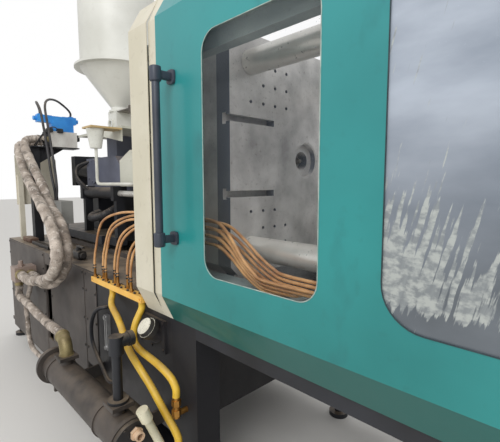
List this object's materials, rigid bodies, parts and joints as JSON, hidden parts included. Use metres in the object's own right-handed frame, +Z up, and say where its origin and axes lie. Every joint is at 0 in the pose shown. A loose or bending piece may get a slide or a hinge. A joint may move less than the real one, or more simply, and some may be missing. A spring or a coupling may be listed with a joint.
{
  "type": "injection moulding machine",
  "caption": "Horizontal injection moulding machine with a hydraulic clamp, sliding guard doors, screw injection unit, hopper, oil cooler and water manifold.",
  "frame": {"origin": "on the floor, on the centre plane, straight below the mould face of the fixed platen", "axes": "+X along the machine towards the clamp end, -Y towards the side with the oil cooler, +Z up"},
  "size_m": [6.4, 1.94, 3.4023],
  "materials": {
    "base_grey": "satin",
    "dark_steel": "satin",
    "tank_grey": "satin",
    "platen_steel": "machined",
    "bright_steel": "polished",
    "guard_teal": "satin",
    "guard_beige": "satin",
    "frame_grey": "satin",
    "pane": "glossy",
    "handle_dark": "satin",
    "housing_blue": "satin",
    "barrel_steel": "worn",
    "white_paint": "satin",
    "valve_blue": "satin",
    "cable_black": "matte",
    "box_grey": "satin",
    "wrap_grey": "dirty",
    "cooler_brown": "worn",
    "cap_black": "painted",
    "pipe_dark": "satin",
    "yellow_hose": "matte",
    "brass": "worn",
    "manifold_yellow": "satin",
    "tan_hose": "satin",
    "pvc_white": "satin",
    "gauge_alu": "satin",
    "motor_grey": "painted",
    "panel_grey": "satin",
    "red_plastic": "gloss"
  },
  "bodies": {
    "machine": {"injection_base": "base_grey", "clamp_base": "dark_steel", "levelling_feet": "dark_steel", "oil_tank": "tank_grey", "side_panels": "base_grey", "fixed_platen": "platen_steel", "tail_platen": "platen_steel", "tie_bars": "bright_steel", "clamp_cylinder": "dark_steel", "guard_columns": "frame_grey", "guard_headers": "frame_grey", "guard_posts": "guard_beige", "clamp_covers": "guard_teal", "carriage_rods": "bright_steel", "valve_stand": "dark_steel", "rear_guard_plate": "guard_beige", "valve_blocks": "white_paint", "solenoid_valve": "valve_blue", "valve_cables": "cable_black", "terminal_box": "box_grey", "wrapped_hoses": "wrap_grey", "cooler_shell": "cooler_brown", "cooler_caps": "cap_black", "cooler_pipe": "pipe_dark", "yellow_hoses": "yellow_hose", "brass_fittings": "brass", "water_manifold": "manifold_yellow", "water_hoses": "tan_hose", "pvc_pipe": "pvc_white", "level_gauge": "gauge_alu", "pump_motor": "motor_grey"},
    "rear_door": {"rear_door": "guard_teal", "rear_door_windows": "pane", "rear_door_handle": "handle_dark"},
    "front_door": {"front_door": "guard_teal", "front_door_windows": "pane", "front_door_handle": "handle_dark"},
    "moving_platen": {"moving_platen": "platen_steel", "clamp_ram": "bright_steel"},
    "ejector": {"ejector_plate": "platen_steel"},
    "carriage": {"carriage_frame": "dark_steel", "feed_housing": "housing_blue", "barrel": "barrel_steel", "heater_bands": "barrel_steel", "barrel_cover": "guard_beige", "hydraulic_cylinders": "dark_steel", "hopper_platform": "guard_beige", "magnet_block": "white_paint", "hopper_body": "white_paint", "drip_cup": "white_paint"},
    "injection_plate": {"injection_plate": "dark_steel"},
    "screw": {"screw": "bright_steel"},
    "hopper_lid": {"hopper_lid": "white_paint"},
    "slide_gate": {"slide_gate": "barrel_steel"},
    "filler_cap": {"filler_cap": "white_paint"},
    "pump_coupling": {"pump_coupling": "barrel_steel"},
    "control_panel": {"control_panel": "panel_grey"},
    "e_stop": {"e_stop": "red_plastic"},
    "cabinet_door": {"cabinet_door": "base_grey"},
    "main_switch": {"main_switch": "red_plastic"}
  },
  "joints": [
    {"name": "rear_door_slide", "type": "slide", "parent": "machine", "child": "rear_door", "axis": [1, 0, 0], "range_m": [0, 1.3]},
    {"name": "front_door_slide", "type": "slide", "parent": "machine", "child": "front_door", "axis": [1, 0, 0], "range_m": [0, 1.3]},
    {"name": "clamp_slide", "type": "slide", "parent": "machine", "child": "moving_platen", "axis": [1, 0, 0], "range_m": [-0.6, 0]},
    {"name": "ejector_slide", "type": "slide", "parent": "moving_platen", "child": "ejector", "axis": [1, 0, 0], "range_m": [-0.07, 0]},
    {"name": "carriage_slide", "type": "slide", "parent": "machine", "child": "carriage", "axis": [1, 0, 0], "range_m": [-0.28, 0]},
    {"name": "injection_slide", "type": "slide", "parent": "carriage", "child": "injection_plate", "axis": [1, 0, 0], "range_m": [-0.22, 0]},
    {"name": "screw_turn", "type": "hinge", "parent": "injection_plate", "child": "screw", "pos_m": [-1.6, 0, 1.635], "axis": [1, 0, 0], "continuous": true},
    {"name": "hopper_lid_hinge", "type": "hinge", "parent": "carriage", "child": "hopper_lid", "pos_m": [-2.28, 0, 3.298], "axis": [0, -1, 0], "range_deg": [0, 100]},
    {"name": "slide_gate_slide", "type": "slide", "parent": "carriage", "child": "slide_gate", "axis": [1, 0, 0], "range_m": [0, 0.1]},
    {"name": "filler_cap_lift", "type": "slide", "parent": "machine", "child": "filler_cap", "axis": [0, -0.766, 0.6428], "range_m": [0, 0.04]},
    {"name": "pump_shaft_turn", "type": "hinge", "parent": "machine", "child": "pump_coupling", "pos_m": [-2.1, 0, 0.372], "axis": [1, 0, 0], "continuous": true},
    {"name": "control_panel_swivel", "type": "hinge", "parent": "machine", "child": "control_panel", "pos_m": [-0.44, 0.76, 1.5], "axis": [0, 0, 1], "range_deg": [-60, 20]},
    {"name": "stop_button_push", "type": "slide", "parent": "control_panel", "child": "e_stop", "axis": [0, -1, 0], "range_m": [0, 0.005], "stiffness_N_per_m": 2000},
    {"name": "cabinet_door_hinge", "type": "hinge", "parent": "machine", "child": "cabinet_door", "pos_m": [-2.886, 0.667, 0.63], "axis": [0, 0, 1], "range_deg": [0, 110]},
    {"name": "main_switch_turn", "type": "hinge", "parent": "cabinet_door", "child": "main_switch", "pos_m": [-2.08, 0.69, 0.64], "axis": [0, 1, 0], "range_deg": [0, 90]}
  ]
}
